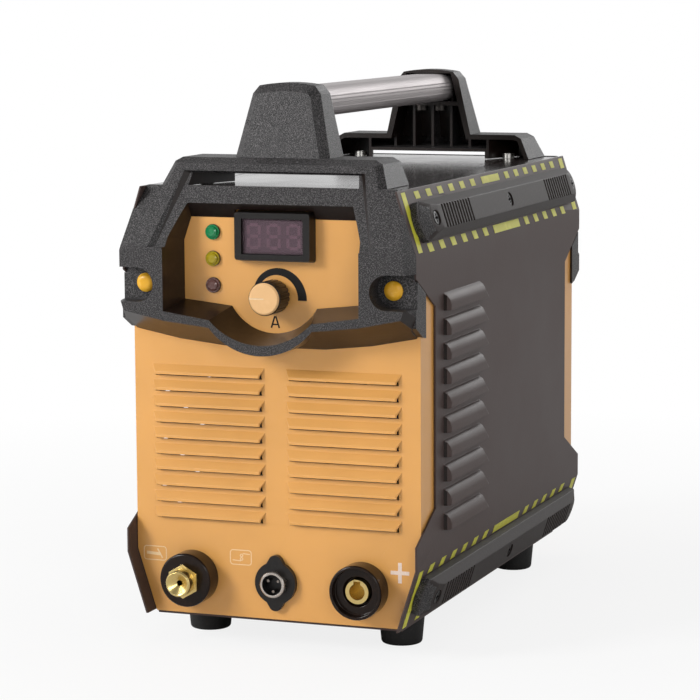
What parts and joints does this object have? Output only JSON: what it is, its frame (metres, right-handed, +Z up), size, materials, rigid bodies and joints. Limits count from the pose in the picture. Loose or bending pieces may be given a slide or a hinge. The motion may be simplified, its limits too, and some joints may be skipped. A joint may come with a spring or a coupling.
{
  "type": "plasma cutter power unit",
  "caption": "Portable inverter power unit: folded sheet case with louvres, moulded end frames, tubular carry handle, corner rails, meter and knob panel, front sockets, rear fan.",
  "frame": {"origin": "on the ground, in the middle of the four feet", "axes": "+X to the right seen from the front, +Y from the front panel to the rear, +Z up"},
  "size_m": [0.1828, 0.3437, 0.3139],
  "materials": {
    "case_paint": "satin powder coat",
    "amber_paint": "satin powder coat",
    "black_moulding": "fine textured moulding",
    "rail_moulding": "satin moulding",
    "bar_aluminium": "anodised, finely grooved",
    "screw_steel": "zinc plated",
    "cap_yellow": "gloss",
    "foot_rubber": "matte",
    "black_gloss": "gloss",
    "tinted_window": "tinted, clear",
    "display_face": "matte",
    "green_lens": "gloss",
    "yellow_lens": "gloss",
    "violet_lens": "gloss",
    "knob_black": "satin",
    "knob_cap_tan": "satin",
    "plated_steel": "bright nickel plate",
    "brass": "turned",
    "fan_black": "moulded",
    "rocker_red": "gloss",
    "board_green": "solder resist",
    "sink_aluminium": "extruded",
    "ferrite": "fired",
    "winding_tape": "taped winding",
    "choke_coating": "wound and varnished",
    "can_sleeve": "shrink sleeve",
    "coil_black": "moulded",
    "hose_blue": "smooth"
  },
  "bodies": {
    "root": {"cover_shell": "case_paint", "base_tray": "case_paint", "front_panel": "amber_paint", "rear_panel": "amber_paint", "front_frame": "black_moulding", "rear_frame": "black_moulding", "bumper_upper_right": "rail_moulding", "bumper_upper_left": "rail_moulding", "bumper_lower_right": "rail_moulding", "bumper_lower_left": "rail_moulding", "handle_bar": "bar_aluminium", "handle_screws": "screw_steel", "deck_screws": "screw_steel", "frame_screws": "screw_steel", "bumper_screws": "screw_steel", "foot_screws": "screw_steel", "fan_screws": "screw_steel", "earth_screw": "screw_steel", "screw_caps": "cap_yellow", "foot_front_left": "foot_rubber", "foot_front_right": "foot_rubber", "foot_rear_left": "foot_rubber", "foot_rear_right": "foot_rubber", "meter_housing": "black_gloss", "lamp_bezels": "black_gloss", "torch_ring": "black_gloss", "positive_housing": "black_gloss", "meter_window": "tinted_window", "meter_display": "display_face", "lamp_lens_green": "green_lens", "lamp_lens_yellow": "yellow_lens", "lamp_lens_violet": "violet_lens", "control_flange": "knob_black", "power_switch": "knob_black", "cable_gland": "knob_black", "potentiometer_body": "plated_steel", "potentiometer_nut": "plated_steel", "control_shell": "plated_steel", "fan_guard": "plated_steel", "torch_fitting": "brass", "control_pins": "brass", "positive_insert": "brass", "air_inlet": "brass", "valve_body": "brass", "fan_frame": "fan_black", "control_board": "board_green", "power_board": "board_green", "heat_sink": "sink_aluminium", "transformer_core": "ferrite", "transformer_coil": "winding_tape", "output_choke": "choke_coating", "capacitors": "can_sleeve", "valve_coil": "coil_black", "air_hoses": "hose_blue"},
    "knob": {"current_knob": "knob_black", "knob_cap": "knob_cap_tan", "potentiometer_shaft": "plated_steel"},
    "fan": {"fan_rotor": "fan_black"},
    "rocker": {"power_rocker": "rocker_red"}
  },
  "joints": [
    {"name": "knob_turn", "type": "hinge", "parent": "root", "child": "knob", "pos_m": [0.0001, -0.1548, 0.1984], "axis": [0, -1, 0], "range_deg": [-240, 60]},
    {"name": "fan_spin", "type": "hinge", "parent": "root", "child": "fan", "pos_m": [0, 0.134, 0.102], "axis": [0, -1, 0], "continuous": true},
    {"name": "rocker_press", "type": "hinge", "parent": "root", "child": "rocker", "pos_m": [-0.028, 0.144, 0.213], "axis": [1, 0, 0], "range_deg": [0, 24]}
  ]
}
